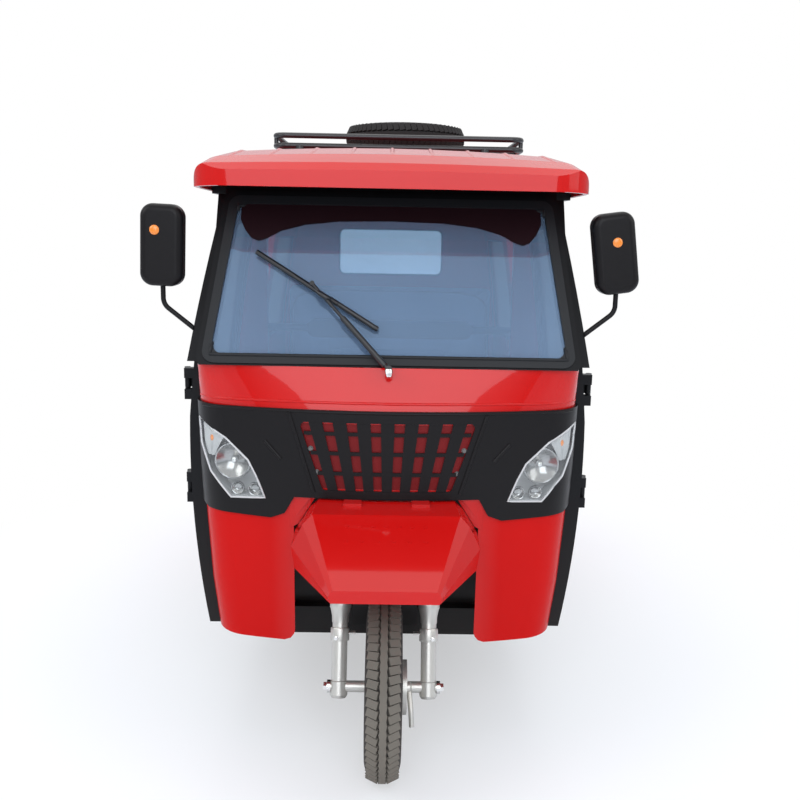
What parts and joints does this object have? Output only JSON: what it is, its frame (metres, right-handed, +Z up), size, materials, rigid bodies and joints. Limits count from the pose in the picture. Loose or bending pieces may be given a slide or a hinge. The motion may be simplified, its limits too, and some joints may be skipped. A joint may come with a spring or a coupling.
{
  "type": "passenger tricycle",
  "caption": "Three-wheeled passenger cab with one steered front wheel, hinged front doors, open passenger doorways, bench seat, roof rack and spare wheel.",
  "frame": {"origin": "on the ground, under the middle of the vehicle's box", "axes": "+Z up, -Y ahead, +X to the right of someone who faces the vehicle"},
  "size_m": [1.408, 2.86, 1.9785],
  "materials": {
    "body_red": "glossy red enamel",
    "black_paint": "satin black paint",
    "black_plastic": "satin black moulding",
    "rack_steel": "black painted tube",
    "seal_rubber": "black rubber",
    "glass": "clear, faintly blue",
    "lens_clear": "clear cover",
    "lamp_chrome": "bright reflector",
    "lamp_red": "red lamp cover",
    "seat_cover": "blue-grey seat cloth, coated",
    "tyre": "dusty black rubber",
    "rim_steel": "silver painted pressed steel",
    "fork_silver": "silver sliders and yokes",
    "cast_metal": "grey castings and springs"
  },
  "bodies": {
    "body": {"b_hoop": "body_red", "bench_backrest": "seat_cover", "bench_base": "black_paint", "bench_cushion": "seat_cover", "chassis_frame": "black_paint", "dashboard": "black_plastic", "door_pillar_left": "black_paint", "door_pillar_right": "black_paint", "driver_backrest": "seat_cover", "driver_cushion": "seat_cover", "driver_seat_box": "black_paint", "engine_block": "cast_metal", "exhaust": "cast_metal", "floor_pan": "black_paint", "foot_wall": "black_paint", "front_fascia": "black_plastic", "front_mudguard": "body_red", "front_panel": "body_red", "grab_bar": "black_plastic", "grille": "black_plastic", "headlamp_bowls": "lamp_chrome", "headlamp_lenses": "lens_clear", "leaf_springs": "cast_metal", "mirror_left": "black_plastic", "mirror_right": "black_plastic", "propshaft": "cast_metal", "quarter_windows": "glass", "rear_axle": "cast_metal", "rear_bumper": "black_paint", "rear_quarter_left": "body_red", "rear_quarter_right": "body_red", "rear_tub": "body_red", "rear_wall": "body_red", "rear_window": "glass", "roof_panel": "body_red", "roof_rack": "rack_steel", "roof_rails": "black_paint", "spare_rim": "rim_steel", "spare_tyre": "tyre", "tail_lamps": "lamp_red", "windscreen_frame": "black_paint", "windscreen_glass": "glass", "windscreen_seal": "seal_rubber", "wiper": "rack_steel"},
    "steering": {"front_fork": "fork_silver", "handlebar": "black_plastic", "splash_guard": "black_plastic"},
    "front_wheel": {"front_tyre": "tyre", "front_rim": "rim_steel"},
    "rear_wheel_left": {"rear_tyre_left": "tyre", "rear_rim_left": "rim_steel"},
    "rear_wheel_right": {"rear_tyre_right": "tyre", "rear_rim_right": "rim_steel"},
    "left_door": {"door_left": "black_paint", "door_window_left": "glass"},
    "right_door": {"door_right": "black_paint", "door_window_right": "glass"}
  },
  "joints": [
    {"name": "steer", "type": "hinge", "parent": "body", "child": "steering", "pos_m": [0, -0.90176, 0.78], "axis": [0, 0.342, 0.9397], "range_deg": [-35, 35]},
    {"name": "front_roll", "type": "hinge", "parent": "steering", "child": "front_wheel", "pos_m": [0, -1.14, 0.257], "axis": [1, 0, 0], "continuous": true},
    {"name": "rear_roll_left", "type": "hinge", "parent": "body", "child": "rear_wheel_left", "pos_m": [-0.52, 0.84, 0.257], "axis": [1, 0, 0], "continuous": true},
    {"name": "rear_roll_right", "type": "hinge", "parent": "body", "child": "rear_wheel_right", "pos_m": [0.52, 0.84, 0.257], "axis": [1, 0, 0], "continuous": true},
    {"name": "left_door_swing", "type": "hinge", "parent": "body", "child": "left_door", "pos_m": [-0.606, -0.831, 0.985], "axis": [0, 0, 1], "range_deg": [0, 65]},
    {"name": "right_door_swing", "type": "hinge", "parent": "body", "child": "right_door", "pos_m": [0.606, -0.831, 0.985], "axis": [0, 0, -1], "range_deg": [0, 65]}
  ]
}
